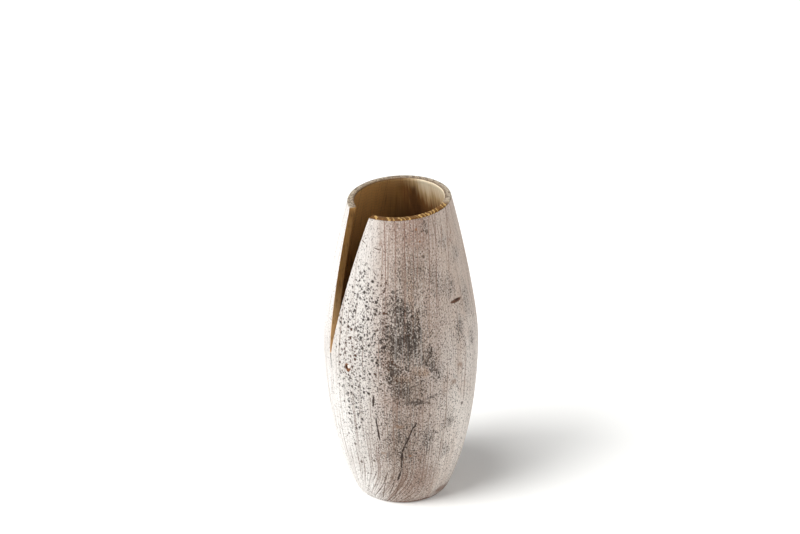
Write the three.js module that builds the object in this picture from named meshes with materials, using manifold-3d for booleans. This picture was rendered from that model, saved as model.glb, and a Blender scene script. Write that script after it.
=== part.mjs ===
// A turned wood vase: a hollow belly-shaped shell with a V slit in its wall, a plugged foot,
// and a glass water liner that stands on a cork seat and lifts out through the mouth.
// Millimetres, +Z up, the origin at the middle of the foot, the slit toward -Y.

import * as THREE from 'three';
import { mergeVertices } from 'three/addons/utils/BufferGeometryUtils.js';
import Module from 'manifold-3d';

const wasm = await Module();
wasm.setup();

// Outline of the turned body
const MOUTH_HEIGHT = 240;
const MOUTH_SLOPE_DEGREES = 3;
const RIM_RADIUS = 38;
const BELLY_RADIUS = 58.5;
const BELLY_HEIGHT = 125;
const FOOT_RADIUS = 35.5;
const FOOT_FLARE_DEGREES = 25.5;
const RIM_TAPER_DEGREES = 18;

// How far up or down the outline each of its leading directions carries
const FOOT_CARRY = 28;
const BELLY_CARRY_DOWN = 52;
const BELLY_CARRY_UP = 30;
const RIM_CARRY = 10;

// Wall, floor and eased edges
const RIM_WALL = 5;
const BELLY_WALL = 6.2;
const FLOOR_THICKNESS = 12;
const FLOOR_COVE = 5;
const RIM_EASE = 1.4;
const FOOT_EASE = 1;

// Slit, seen square on: its left edge is plumb and its right edge bows across to it
const SLIT_MOUTH_WIDTH = 23.5;
const SLIT_TIP_HEIGHT = 125;
const SLIT_TIP_WIDTH = 1.5;
const SLIT_BOW_WIDTH = 10.2;
const SLIT_BOW_RISE = 35;

// Plug let into the foot
const FOOT_RING_WIDTH = 7;
const PLUG_FLANGE_THICKNESS = 5;
const PLUG_SHOULDER = 4;
const PLUG_SINK = 0.8;
const PLUG_RIM_WIDTH = 8;
const PLUG_DISH_DEPTH = 2;
const PLUG_EASE = 0.6;

// Cork seat and glass liner
const CORK_BASE = 2.5;
const CORK_LIP_HEIGHT = 2.5;
const CORK_LIP_WIDTH = 2.5;
const LINER_HEIGHT = 100;
const LINER_WALL = 2;
const LINER_BASE = 3.5;
const LINER_FOOT_ROUND = 3;

// Clearances: a glue line or resting gap, and the loose fit round the liner
const SEAT_GAP = 0.3;
const LINER_FIT = 0.5;

// Fineness of the surfaces, and how far a cutter runs past what it cuts
const BODY_SIDES = 64;
const ROUND_SIDES = 48;
const OUTLINE_STEPS = 9;
const HOLLOW_STEPS = 14;
const EASE_STEPS = 3;
const SLIT_STEPS = 16;
const SLIT_DEPTH_STEPS = 8;
const OUTLINE_HALVINGS = 40;
const CUT_OVERRUN = 8;

const radians = THREE.MathUtils.degToRad;
const point = (radius, height) => new THREE.Vector2(radius, height);

// Outer outline, from the foot to the mouth, as two curves that meet upright at the belly
const belly = point(BELLY_RADIUS, BELLY_HEIGHT);
const lowerCurve = new THREE.CubicBezierCurve(
  point(FOOT_RADIUS, 0),
  point(FOOT_RADIUS + Math.tan(radians(FOOT_FLARE_DEGREES)) * FOOT_CARRY, FOOT_CARRY),
  point(BELLY_RADIUS, BELLY_HEIGHT - BELLY_CARRY_DOWN),
  belly,
);
const upperCurve = new THREE.CubicBezierCurve(
  belly,
  point(BELLY_RADIUS, BELLY_HEIGHT + BELLY_CARRY_UP),
  point(RIM_RADIUS + Math.tan(radians(RIM_TAPER_DEGREES)) * RIM_CARRY, MOUTH_HEIGHT - RIM_CARRY),
  point(RIM_RADIUS, MOUTH_HEIGHT),
);

// Where the outline passes a height: the outer radius there, and how far the wall leans outward
function outlineAt(height) {
  const curve = height < BELLY_HEIGHT ? lowerCurve : upperCurve;
  let low = 0;
  let high = 1;
  for (let halving = 0; halving < OUTLINE_HALVINGS; halving += 1) {
    const middle = (low + high) / 2;
    if (curve.getPoint(middle).y < height) low = middle;
    else high = middle;
  }
  const along = curve.getTangent(low);
  return { radius: curve.getPoint(low).x, lean: Math.atan2(along.x, along.y) };
}

// The wall is measured square to the outline and thins from the belly to the rim
function hollowRadiusAt(height) {
  const { radius, lean } = outlineAt(height);
  const rise = Math.max(0, (height - BELLY_HEIGHT) / (MOUTH_HEIGHT - BELLY_HEIGHT));
  const wall = THREE.MathUtils.lerp(BELLY_WALL, RIM_WALL, rise);
  return radius - wall / Math.cos(lean);
}

// Points of an arc, with its angles in degrees from the outward direction
function arcPoints(centre, radius, from, to, steps) {
  const curve = new THREE.EllipseCurve(
    centre.x, centre.y, radius, radius, radians(from), radians(to), to < from,
  );
  return curve.getPoints(steps);
}

// A solid of revolution about Z, from a profile of (radius, height) points
function turned(profile, sides) {
  const geometry = new THREE.LatheGeometry(profile, sides);
  return geometry.rotateX(Math.PI / 2);
}

function toSolid(geometry) {
  const bare = geometry.clone();
  bare.deleteAttribute('normal');
  bare.deleteAttribute('uv');
  const merged = mergeVertices(bare);
  return new wasm.Manifold(new wasm.Mesh({
    numProp: 3,
    vertProperties: new Float32Array(merged.attributes.position.array),
    triVerts: new Uint32Array(merged.index.array),
  }));
}

function toGeometry(solid) {
  const mesh = solid.getMesh();
  const geometry = new THREE.BufferGeometry();
  geometry.setAttribute('position', new THREE.BufferAttribute(mesh.vertProperties, 3));
  geometry.setIndex(new THREE.BufferAttribute(mesh.triVerts, 1));
  geometry.computeVertexNormals();
  return geometry;
}

function moveVertices(geometry, move) {
  const position = geometry.attributes.position;
  const vertex = new THREE.Vector3();
  for (let index = 0; index < position.count; index += 1) {
    vertex.fromBufferAttribute(position, index);
    move(vertex);
    position.setXYZ(index, vertex.x, vertex.y, vertex.z);
  }
  return geometry;
}

// Rebate in the foot, and the floor of the hollow with its cove
const rebateRadius = FOOT_RADIUS - FOOT_RING_WIDTH;
const boreRadius = rebateRadius - PLUG_SHOULDER;
const coveLean = outlineAt(FLOOR_THICKNESS + FLOOR_COVE).lean;
const coveTop = FLOOR_THICKNESS + FLOOR_COVE * (1 - Math.sin(coveLean));
const floorRadius = hollowRadiusAt(coveTop) - FLOOR_COVE * Math.cos(coveLean);

function bodyProfile() {
  const outer = [
    ...lowerCurve.getPoints(OUTLINE_STEPS).slice(1),
    ...upperCurve.getPoints(OUTLINE_STEPS).slice(1, -1),
  ];
  const footCentre = point(FOOT_RADIUS - FOOT_EASE, FOOT_EASE);
  const footEdge = arcPoints(footCentre, FOOT_EASE, -90, -FOOT_FLARE_DEGREES, EASE_STEPS);

  const easeHeight = MOUTH_HEIGHT - RIM_EASE;
  const rimOuter = point(outlineAt(easeHeight).radius - RIM_EASE, easeHeight);
  const rimInner = point(hollowRadiusAt(easeHeight) + RIM_EASE, easeHeight);
  const rim = [
    ...arcPoints(rimOuter, RIM_EASE, 0, 90, EASE_STEPS),
    ...arcPoints(rimInner, RIM_EASE, 90, 180, EASE_STEPS),
  ];

  const hollow = [];
  for (let step = 1; step < HOLLOW_STEPS; step += 1) {
    const height = THREE.MathUtils.lerp(easeHeight, coveTop, step / HOLLOW_STEPS);
    hollow.push(point(hollowRadiusAt(height), height));
  }
  const coveCentre = point(floorRadius, FLOOR_THICKNESS + FLOOR_COVE);
  const coveStart = -THREE.MathUtils.radToDeg(coveLean);
  const cove = arcPoints(coveCentre, FLOOR_COVE, coveStart, -90, EASE_STEPS);

  const profile = [
    ...footEdge,
    ...outer,
    ...rim,
    ...hollow,
    ...cove,
    point(boreRadius, FLOOR_THICKNESS),
    point(boreRadius, PLUG_FLANGE_THICKNESS),
    point(rebateRadius, PLUG_FLANGE_THICKNESS),
    point(rebateRadius, 0),
  ];
  profile.push(profile[0].clone());
  return profile;
}

// As the wood dried, the mouth settled toward the slit: the wall above the belly shears with height
function settleMouth(vertex) {
  const rise = Math.max(0, (vertex.z - BELLY_HEIGHT) / (MOUTH_HEIGHT - BELLY_HEIGHT));
  vertex.z += rise * rise * vertex.y * Math.tan(radians(MOUTH_SLOPE_DEGREES));
}

// The slit is drawn square on, pushed through the wall, then fanned so that its faces run to the axis
function slitCutter() {
  const left = -SLIT_MOUTH_WIDTH / 2;
  const top = MOUTH_HEIGHT + CUT_OVERRUN;
  const rightEdge = new THREE.QuadraticBezierCurve(
    point(left + SLIT_TIP_WIDTH, SLIT_TIP_HEIGHT),
    point(left + SLIT_BOW_WIDTH, SLIT_TIP_HEIGHT + SLIT_BOW_RISE),
    point(left + SLIT_MOUTH_WIDTH, MOUTH_HEIGHT),
  );
  const leftEdge = new THREE.LineCurve(point(left, top), point(left, SLIT_TIP_HEIGHT));
  const outline = new THREE.Shape([
    ...rightEdge.getPoints(SLIT_STEPS),
    point(left + SLIT_MOUTH_WIDTH, top),
    ...leftEdge.getPoints(SLIT_STEPS),
  ]);
  const nearest = RIM_RADIUS - RIM_WALL - CUT_OVERRUN;
  const farthest = BELLY_RADIUS + CUT_OVERRUN;
  const wedge = new THREE.ExtrudeGeometry(outline, {
    depth: farthest - nearest,
    steps: SLIT_DEPTH_STEPS,
    bevelEnabled: false,
  });
  return moveVertices(wedge, (vertex) => {
    const height = vertex.y;
    const reach = nearest + vertex.z;
    const turn = Math.asin(vertex.x / outlineAt(Math.min(height, MOUTH_HEIGHT)).radius);
    vertex.set(reach * Math.sin(turn), -reach * Math.cos(turn), height);
  });
}

function turnedBody() {
  const shell = moveVertices(turned(bodyProfile(), BODY_SIDES), settleMouth);
  return toGeometry(toSolid(shell).subtract(toSolid(slitCutter())));
}

// The plug fills the rebate from below, a little short of the foot's underside
function basePlug() {
  const flangeRadius = rebateRadius - SEAT_GAP;
  const spigotRadius = boreRadius - SEAT_GAP;
  const flangeTop = PLUG_FLANGE_THICKNESS - SEAT_GAP;
  const easeCentre = point(flangeRadius - PLUG_EASE, PLUG_SINK + PLUG_EASE);
  const dishRadius = flangeRadius - PLUG_RIM_WIDTH;
  return turned([
    point(0, PLUG_SINK + PLUG_DISH_DEPTH),
    point(dishRadius - PLUG_DISH_DEPTH, PLUG_SINK + PLUG_DISH_DEPTH),
    point(dishRadius, PLUG_SINK),
    ...arcPoints(easeCentre, PLUG_EASE, -90, 0, EASE_STEPS),
    point(flangeRadius, flangeTop),
    point(spigotRadius, flangeTop),
    point(spigotRadius, FLOOR_THICKNESS),
    point(0, FLOOR_THICKNESS),
  ], ROUND_SIDES);
}

// The cork lies on the floor inside the cove, with a dish for the glass
const corkRadius = floorRadius - SEAT_GAP;
const corkBottom = FLOOR_THICKNESS + SEAT_GAP;
const recessRadius = corkRadius - CORK_LIP_WIDTH;
const recessFloor = corkBottom + CORK_BASE;
const corkTop = recessFloor + CORK_LIP_HEIGHT;

function corkSeat() {
  return turned([
    point(0, corkBottom),
    point(corkRadius, corkBottom),
    point(corkRadius, corkTop),
    point(recessRadius, corkTop),
    point(recessRadius, recessFloor),
    point(0, recessFloor),
  ], ROUND_SIDES);
}

// The glass is as wide as both its seat and the mouth allow, with a fire-polished rim
const mouthClearRadius = hollowRadiusAt(MOUTH_HEIGHT);
const linerRadius = Math.min(recessRadius, mouthClearRadius) - LINER_FIT;
const linerBottom = recessFloor + SEAT_GAP;

function glassLiner() {
  const linerTop = linerBottom + LINER_HEIGHT;
  const rimRound = LINER_WALL / 2;
  const boreRound = Math.max(LINER_FOOT_ROUND - LINER_WALL, rimRound);
  const footCentre = point(linerRadius - LINER_FOOT_ROUND, linerBottom + LINER_FOOT_ROUND);
  const rimCentre = point(linerRadius - rimRound, linerTop - rimRound);
  const boreFloor = linerBottom + LINER_BASE;
  const boreCentre = point(linerRadius - LINER_WALL - boreRound, boreFloor + boreRound);
  return turned([
    point(0, linerBottom),
    ...arcPoints(footCentre, LINER_FOOT_ROUND, -90, 0, EASE_STEPS),
    ...arcPoints(rimCentre, rimRound, 0, 180, EASE_STEPS * 2),
    ...arcPoints(boreCentre, boreRound, 0, -90, EASE_STEPS),
    point(0, boreFloor),
  ], ROUND_SIDES);
}

const limedWood = new THREE.MeshStandardMaterial({ color: '#b9a89a', roughness: 0.8, metalness: 0 });
const plugWood = new THREE.MeshStandardMaterial({ color: '#9a7a58', roughness: 0.7, metalness: 0 });
const cork = new THREE.MeshStandardMaterial({ color: '#b98a5a', roughness: 0.95, metalness: 0 });
const clearGlass = new THREE.MeshStandardMaterial({
  color: '#dfeee8', roughness: 0.05, metalness: 0, transparent: true, opacity: 0.35,
});

const vase = new THREE.Group();

function addPiece(name, geometry, material) {
  const mesh = new THREE.Mesh(geometry, material);
  mesh.name = name;
  vase.add(mesh);
}

addPiece('turned_body', turnedBody(), limedWood);
addPiece('base_plug', basePlug(), plugWood);
addPiece('cork_seat', corkSeat(), cork);
addPiece('glass_liner', glassLiner(), clearGlass);

export default vase;
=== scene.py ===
# %% [markdown]
# # A turned wood vase with a slit wall
#
# The vase is a hollow belly of spalted wood, turned on a lathe, slit from its mouth down to the belly and
# limed pale on the outside. A plug closes the hole in its foot, and a glass liner that stands on a cork
# seat keeps water off the wood. The measured model fixes every size and place, so this file only dresses
# it: first the camera and the light, then the finishes, then the shapes that carry them.

# %% Load the measured model
import math

import bpy
from mathutils import Matrix, Vector


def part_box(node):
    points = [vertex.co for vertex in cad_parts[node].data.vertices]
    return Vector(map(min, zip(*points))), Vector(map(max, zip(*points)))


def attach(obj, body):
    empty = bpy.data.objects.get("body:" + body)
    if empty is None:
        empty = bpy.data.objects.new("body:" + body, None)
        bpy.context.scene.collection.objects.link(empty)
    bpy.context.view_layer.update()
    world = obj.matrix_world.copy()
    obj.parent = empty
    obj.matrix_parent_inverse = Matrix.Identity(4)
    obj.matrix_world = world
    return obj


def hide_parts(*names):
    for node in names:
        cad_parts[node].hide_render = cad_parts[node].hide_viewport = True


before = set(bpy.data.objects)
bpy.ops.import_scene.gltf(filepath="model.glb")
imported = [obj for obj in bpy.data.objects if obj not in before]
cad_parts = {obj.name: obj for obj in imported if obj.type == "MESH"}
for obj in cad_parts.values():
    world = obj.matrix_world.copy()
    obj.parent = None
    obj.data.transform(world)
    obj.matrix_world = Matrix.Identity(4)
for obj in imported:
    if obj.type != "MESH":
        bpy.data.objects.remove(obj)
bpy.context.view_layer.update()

MM = 0.001
print("measured nodes:", ", ".join(sorted(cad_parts)))

# %% [markdown]
# ## The camera
#
# The photograph was taken with a long lens from well above the vase, which shows the mouth as a flat
# ellipse. A camera could be aimed with a constraint, but a long lens shows every tenth of a degree, so
# its directions are worked out and written straight into its matrix. The slight roll is the photograph's
# own.

# %% Camera
# Lengths are in millimetres, here and below, and MM turns them into metres.
VIEW_AZIMUTH = math.radians(53)
VIEW_DOWN = math.radians(25.4)
VIEW_ROLL = math.radians(0.63)
VIEW_DISTANCE = 1616.7
VIEW_HEIGHT = 950.5
LENS = 108
SENSOR = 36

level = Vector((-math.sin(VIEW_AZIMUTH), math.cos(VIEW_AZIMUTH), 0))
right = Vector((math.cos(VIEW_AZIMUTH), math.sin(VIEW_AZIMUTH), 0))
forward = level * math.cos(VIEW_DOWN) - Vector((0, 0, math.sin(VIEW_DOWN)))
up = right.cross(forward)
rolled_right = right * math.cos(VIEW_ROLL) - up * math.sin(VIEW_ROLL)
rolled_up = right * math.sin(VIEW_ROLL) + up * math.cos(VIEW_ROLL)

lens = bpy.data.cameras.new("portrait_lens")
lens.lens = LENS
lens.sensor_width = SENSOR
camera = bpy.data.objects.new("camera", lens)
turn = Matrix((rolled_right, rolled_up, -forward)).transposed()
place = (-level * VIEW_DISTANCE + Vector((0, 0, VIEW_HEIGHT))) * MM
camera.matrix_world = Matrix.Translation(place) @ turn.to_4x4()
bpy.context.collection.objects.link(camera)
bpy.context.scene.camera = camera
bpy.context.scene.view_settings.view_transform = "Standard"
print(f"camera {place.length:.3f} m from the foot")

# %% [markdown]
# ## Nodes and colours
#
# Every finish below is a tree of nodes. One helper adds a node, sets its options and fills or links its
# inputs, so that a line of code reads like a line of the tree. Colours are written the way a painter's
# chart gives them, as sRGB hex values, and one function turns them into the linear light that Blender
# mixes.

# %% One helper for nodes and one for colours
MATH = "ShaderNodeMath"
VECTOR = "ShaderNodeVectorMath"
NOISE = "ShaderNodeTexNoise"
RANGE = "ShaderNodeMapRange"
PARTS = "ShaderNodeSeparateXYZ"
BUMP = "ShaderNodeBump"
SHADER = "ShaderNodeBsdfPrincipled"
OUTPUT = "ShaderNodeOutputMaterial"
TIMES = {"operation": "MULTIPLY"}
TIMES_PLUS = {"operation": "MULTIPLY_ADD"}
DOT = {"operation": "DOT_PRODUCT"}
SMOOTH = {"interpolation_type": "SMOOTHSTEP"}


def linear(hex_colour):
    """The linear RGBA value of a colour written as #rrggbb."""
    channels = [int(hex_colour[start:start + 2], 16) / 255 for start in (1, 3, 5)]
    light = [c / 12.92 if c <= 0.04045 else ((c + 0.055) / 1.055) ** 2.4 for c in channels]
    return (*light, 1)


def add(tree, kind, *values, **options):
    """Adds a node and sets its options. Values fill its inputs in order, and a dict fills them by name."""
    node = tree.nodes.new(kind)
    for option, value in options.items():
        setattr(node, option, value)
    inputs = {}
    for index, value in enumerate(values):
        inputs.update(value if isinstance(value, dict) else {index: value})
    for key, value in inputs.items():
        if isinstance(value, bpy.types.Node):
            value = value.outputs[0]
        if isinstance(value, bpy.types.NodeSocket):
            tree.links.new(value, node.inputs[key])
        else:
            node.inputs[key].default_value = value
    return node


print("middle grey in linear light:", round(linear("#808080")[0], 3))

# %% [markdown]
# ## Masks and stains
#
# Wood gets its colour in layers, as a finisher lays one stain over another. A mask is a number at every
# place of the wood that says where a layer goes. Each finish gathers its masks by name, and three helpers
# then work with them: one multiplies masks, one adds them up by shares, and one lays a list of stains
# over a base. One colour ramp could do for a plain wood, but here the order of the layers is what makes
# the surface look old.

# %% Masks and stains
# Sockets of a Mix node for colours: what lies below, what goes over it, and the result
UNDER, OVER, MIXED = 6, 7, 2
# Where most values of a noise lie
NOISE_SPAN = (0.3, 0.7)


def new_finish(name):
    """An empty material, its tree, and its Object coordinates in millimetres."""
    material = bpy.data.materials.new(name)
    material.use_nodes = True
    tree = material.node_tree
    tree.nodes.clear()
    metres = add(tree, "ShaderNodeTexCoord").outputs["Object"]
    place = add(tree, VECTOR, metres, {"Scale": 1 / MM}, operation="SCALE")
    return material, tree, place


def all_of(tree, *masks):
    """The mask of where several masks meet: their product."""
    met, *others = masks
    for mask in others:
        met = add(tree, MATH, met, mask, **TIMES)
    return met


def weighed(tree, start, masks, shares):
    """A start value, plus each named mask times its share."""
    total = start
    for name, share in shares.items():
        total = add(tree, MATH, masks[name], share, total, **TIMES_PLUS)
    return total


def stained(tree, base, masks, stains):
    """Lays stains over a base colour. A stain is its colour, the name of its mask, the mask's values where
    the stain starts and where it is full, and the most that it covers, from 0 to 1."""
    colour = linear(base)
    for stain, name, starts, full, most in stains:
        amount = add(tree, RANGE, masks[name], starts, full, 0, most, **SMOOTH)
        inputs = {0: amount, UNDER: colour, OVER: linear(stain)}
        colour = add(tree, "ShaderNodeMix", inputs, data_type="RGBA").outputs[MIXED]
    return colour


print("most of a noise lies between", *NOISE_SPAN)

# %% [markdown]
# ## Lamps
#
# The vase stands on a white sheet beside a tall window. Two broad lights from the left stand for the
# window's upper and lower panes, and a weaker one for what a white wall sends back from the right. Area
# lamps would fall off across the sheet and leave its far end grey, so all three are sun lamps with very
# wide discs, which light the sheet evenly and still cast soft shadows.

# %% Lamps
LAMPS = {
    # name: azimuth, height and spread in degrees, and strength
    "upper_pane": (259, 67, 34, 1.85),
    "lower_pane": (259, 45, 34, 1.85),
    "white_wall": (28, 14, 80, 0.82),
}

for name, (azimuth, height, spread, strength) in LAMPS.items():
    light = bpy.data.lights.new(name, "SUN")
    light.energy = strength
    light.angle = math.radians(spread)
    lamp = bpy.data.objects.new(name, light)
    tilt = math.radians(90 - height)
    lamp.rotation_euler = (0, tilt, math.radians(azimuth))
    bpy.context.collection.objects.link(lamp)
    print(f"{name}: {height} degrees up, {spread} degrees wide")

# %% [markdown]
# ## Room and sheet
#
# The room is white wherever it is seen, but it lights the vase only weakly, because the lamps do that. In
# the same way the sheet adds a little light of its own, only for rays that see it, so it looks white
# while the vase isn't lit any more brightly for it and its shadow stays. A brighter lamp would whiten the
# sheet too, but it would burn out the lime.

# %% Room and sheet
SKY_STRENGTH = 0.19
SHEET_LIFT = 0.07
SHEET_SIZE = 8000
SHEET_DROP = 0.05


def seen_directly(tree):
    """1 for rays that show the background: from the camera, or by way of a reflection or glass."""
    path = add(tree, "ShaderNodeLightPath").outputs
    mirrored = add(tree, MATH, path["Is Glossy Ray"], path["Is Transmission Ray"], operation="MAXIMUM")
    return add(tree, MATH, path["Is Camera Ray"], mirrored, operation="MAXIMUM")


world = bpy.data.worlds.new("white_room")
world.use_nodes = True
tree = world.node_tree
tree.nodes.clear()
bright = add(tree, RANGE, seen_directly(tree), 0, 1, SKY_STRENGTH, 1)
room = add(tree, "ShaderNodeBackground", {"Color": linear("#ffffff"), "Strength": bright})
add(tree, "ShaderNodeOutputWorld", {"Surface": room})
bpy.context.scene.world = world

paper, tree, place = new_finish("white_paper_sheet")
matt = add(tree, "ShaderNodeBsdfDiffuse", {"Color": linear("#fcfcfa")})
lift = add(tree, MATH, seen_directly(tree), SHEET_LIFT, **TIMES)
glow = add(tree, "ShaderNodeEmission", {"Color": linear("#ffffff"), "Strength": lift})
add(tree, OUTPUT, add(tree, "ShaderNodeAddShader", matt, glow))

half = SHEET_SIZE / 2 * MM
sheet_mesh = bpy.data.meshes.new("sheet")
corners = [(-half, -half), (half, -half), (half, half), (-half, half)]
sheet_mesh.from_pydata([(x, y, -SHEET_DROP * MM) for x, y in corners], [], [(0, 1, 2, 3)])
sheet_mesh.materials.append(paper)
sheet = bpy.data.objects.new("sheet", sheet_mesh)
bpy.context.collection.objects.link(sheet)
print(f"sheet {SHEET_SIZE} mm wide")

# %% [markdown]
# ## The outline of the vase
#
# A turner draws half of the outline and checks the work against it. The outline here is the measured
# model's: two smooth curves that meet upright at the belly. The wall is measured square to the outline
# and thins toward the rim. The same driving sizes are repeated here, in millimetres, because a finer mesh
# is to be spun from them than the measured solid has.

# %% Driving sizes
MOUTH_HEIGHT = 240
MOUTH_SLOPE = math.radians(3)
RIM_RADIUS = 38
BELLY_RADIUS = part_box("turned_body")[1][0] / MM
BELLY_HEIGHT = 125
FOOT_RADIUS = 35.5
FOOT_FLARE = math.radians(25.5)
RIM_TAPER = math.radians(18)
FOOT_CARRY = 28
BELLY_CARRY_DOWN = 52
BELLY_CARRY_UP = 30
RIM_CARRY = 10
RIM_WALL = 5
BELLY_WALL = 6.2

LOWER_CURVE = [
    Vector((FOOT_RADIUS, 0)),
    Vector((FOOT_RADIUS + math.tan(FOOT_FLARE) * FOOT_CARRY, FOOT_CARRY)),
    Vector((BELLY_RADIUS, BELLY_HEIGHT - BELLY_CARRY_DOWN)),
    Vector((BELLY_RADIUS, BELLY_HEIGHT)),
]
UPPER_CURVE = [
    Vector((BELLY_RADIUS, BELLY_HEIGHT)),
    Vector((BELLY_RADIUS, BELLY_HEIGHT + BELLY_CARRY_UP)),
    Vector((RIM_RADIUS + math.tan(RIM_TAPER) * RIM_CARRY, MOUTH_HEIGHT - RIM_CARRY)),
    Vector((RIM_RADIUS, MOUTH_HEIGHT)),
]
print(f"belly {2 * BELLY_RADIUS:.0f} mm, mouth {2 * RIM_RADIUS} mm and foot {2 * FOOT_RADIUS:.0f} mm wide")

# %% Points on the outline
HALVINGS = 40


def curve_at(points, share):
    """The point of a Bezier curve at a share of its run, and its direction there."""
    while len(points) > 2:
        points = [a.lerp(b, share) for a, b in zip(points, points[1:])]
    start, end = points
    return start.lerp(end, share), end - start


def curve_at_height(points, height):
    """The point and direction where a curve that climbs all the way passes a height."""
    low, high = 0, 1
    for _ in range(HALVINGS):
        middle = (low + high) / 2
        if curve_at(points, middle)[0].y < height:
            low = middle
        else:
            high = middle
    return curve_at(points, low)


def outline_at(height):
    """The outer radius at a height, and how far the wall leans outward there."""
    curve = LOWER_CURVE if height < BELLY_HEIGHT else UPPER_CURVE
    point, along = curve_at_height(curve, height)
    return point.x, math.atan2(along.x, along.y)


def hollow_at(height):
    """The radius of the hollow at a height."""
    radius, lean = outline_at(height)
    rise = max(0, (height - BELLY_HEIGHT) / (MOUTH_HEIGHT - BELLY_HEIGHT))
    wall = BELLY_WALL + (RIM_WALL - BELLY_WALL) * rise
    return radius - wall / math.cos(lean)


print(f"the hollow is {2 * hollow_at(BELLY_HEIGHT):.1f} mm wide at the belly")

# %% [markdown]
# ## How the wood grew
#
# Every finish on the wood shares one grain, because it was one log. The log's rings cross the vase as
# nearly flat layers, so a ring is a sheet of places at one depth along a leaning direction. The depth is
# worked out by a dot product and bent a little by noise. Where those sheets meet the curved wall they
# draw the long lines that run up the sides, spread over the belly and gather again at the mouth and the
# foot. A Wave texture draws such bands too, but every one of its lines would be as dark as the next.

# %% Growth rings
RING_AZIMUTH = 262
RING_TILT = 0.103
RING_WANDER = 2.2
RING_WANDER_SIZE = (40, 40, 110)
RING_WANDER_DETAIL = 1.5
RING_SPACING = 5.95


def level_direction(azimuth):
    """The level direction at an azimuth in degrees."""
    turn = math.radians(azimuth)
    return Vector((math.cos(turn), math.sin(turn), 0))


def mottled(tree, place, sizes, detail=2.0):
    """A mottle from 0 to 1 whose patches are about this large along X, Y and Z, in millimetres."""
    scaled = add(tree, VECTOR, place, [1 / size for size in sizes], **TIMES)
    return add(tree, NOISE, {"Vector": scaled, "Scale": 1, "Detail": detail}).outputs[0]


def ring_depth(tree, place):
    """How deep a place lies across the rings, in millimetres, with a slow wander."""
    across = level_direction(RING_AZIMUTH) + Vector((0, 0, RING_TILT))
    flat = add(tree, VECTOR, place, across, **DOT).outputs["Value"]
    wander = mottled(tree, place, RING_WANDER_SIZE, RING_WANDER_DETAIL)
    return add(tree, MATH, wander, RING_WANDER, flat, **TIMES_PLUS)


def ring_lines(tree, depth, spacing, starts, full, fades):
    """Lines one spacing apart, each as strong as chance has it. In the run of a spacing from 0 to 1, a line
    starts at the first of three shares, is full from the second, and fades from the third to the end."""
    count = add(tree, MATH, depth, spacing, operation="DIVIDE")
    share = add(tree, MATH, count, operation="FRACT")
    rise = add(tree, RANGE, share, starts, full, **SMOOTH)
    fall = add(tree, RANGE, share, 1, fades, **SMOOTH)
    ring = add(tree, MATH, count, operation="FLOOR")
    chance = add(tree, "ShaderNodeTexWhiteNoise", {"W": ring}, noise_dimensions="1D")
    return all_of(tree, rise, fall, chance)


print(f"rings {RING_SPACING} mm apart, leaning {math.degrees(math.atan(RING_TILT)):.1f} degrees")

# %% [markdown]
# ## Finding a place on the wall
#
# Fibres look the same all round the vase, and each finish changes with the side it faces and with its
# depth below the mouth. A UV map could carry such places, but it would have to be unwrapped again for
# every change of shape. So they are worked out from Object coordinates: fibres get the coordinates of a
# straight tube, and a side of the vase is a dot product with the direction it faces.

# %% Places on the wall
SWEPT_AZIMUTH = 306
SWEEP_HEIGHT = 38
SWEEP = math.radians(25)
SWEEP_SIDE = (0.72, 0.97)


def from_axis(tree, place):
    """How far a place lies from the turning axis."""
    flat = add(tree, VECTOR, place, (1, 1, 0), **TIMES)
    return add(tree, VECTOR, flat, operation="LENGTH").outputs["Value"]


def skin_place(tree, place):
    """The place on a straight tube as wide as the belly, so that fibres run up the wall at every height."""
    flat = add(tree, VECTOR, place, (1, 1, 0), **TIMES)
    unit = add(tree, VECTOR, flat, operation="NORMALIZE")
    height = add(tree, VECTOR, place, (0, 0, 1), **TIMES)
    return add(tree, VECTOR, unit, [BELLY_RADIUS] * 3, height, **TIMES_PLUS)


def below_mouth(tree, place):
    """How far a place lies below the sloping plane of the mouth, in millimetres."""
    downward = (0, math.tan(MOUTH_SLOPE), -1)
    down = add(tree, VECTOR, place, downward, **DOT).outputs["Value"]
    return add(tree, MATH, down, MOUTH_HEIGHT, operation="ADD")


def facing(tree, skin, azimuth):
    """1 where the wall faces an azimuth, 0 a quarter turn away and -1 at the far side."""
    ahead = level_direction(azimuth) / BELLY_RADIUS
    return add(tree, VECTOR, skin, ahead, **DOT).outputs["Value"]


def swept_foot(tree, skin):
    """The skin turned more and more toward the foot, where the fibres sweep aside under a lost branch."""
    height = add(tree, PARTS, skin).outputs["Z"]
    drop = add(tree, RANGE, height, SWEEP_HEIGHT, 0)
    near = add(tree, RANGE, facing(tree, skin, SWEPT_AZIMUTH), *SWEEP_SIDE, 0, SWEEP)
    turn = all_of(tree, drop, drop, near)
    return add(tree, "ShaderNodeVectorRotate", {"Vector": skin, "Angle": turn}, rotation_type="Z_AXIS")


print(f"the fibres sweep aside below {SWEEP_HEIGHT} mm")

# %% [markdown]
# ## Marks on the wall
#
# The outside carries marks that belong to one place: clouds of spalt, drying checks, a dead knot, a bark
# pocket, short dark nicks. Painting them would need an image, so each is a soft ellipsoid in space that
# the wall passes through. A Mapping node of the texture kind moves the coordinates into the mark's own
# frame, and a spherical gradient is then 1 at its middle and 0 at its edge. The place is shaken by noise
# first, which frays the edges as real stains are frayed.

# %% Marks made from shaken ellipsoids
MARK_DEPTH = 9
SHAKE_DETAIL = 2.5
CRACK_OVERLAP = 1.5


def shaken(tree, place, reach, size):
    """The place, moved about by noise: how far it reaches and how large its waves are, in millimetres."""
    noise = add(tree, NOISE, {"Vector": place, "Scale": 1 / size, "Detail": SHAKE_DETAIL}).outputs["Color"]
    middle = add(tree, VECTOR, noise, (0.5, 0.5, 0.5), operation="SUBTRACT")
    return add(tree, VECTOR, middle, [2 * reach] * 3, place, **TIMES_PLUS)


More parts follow.
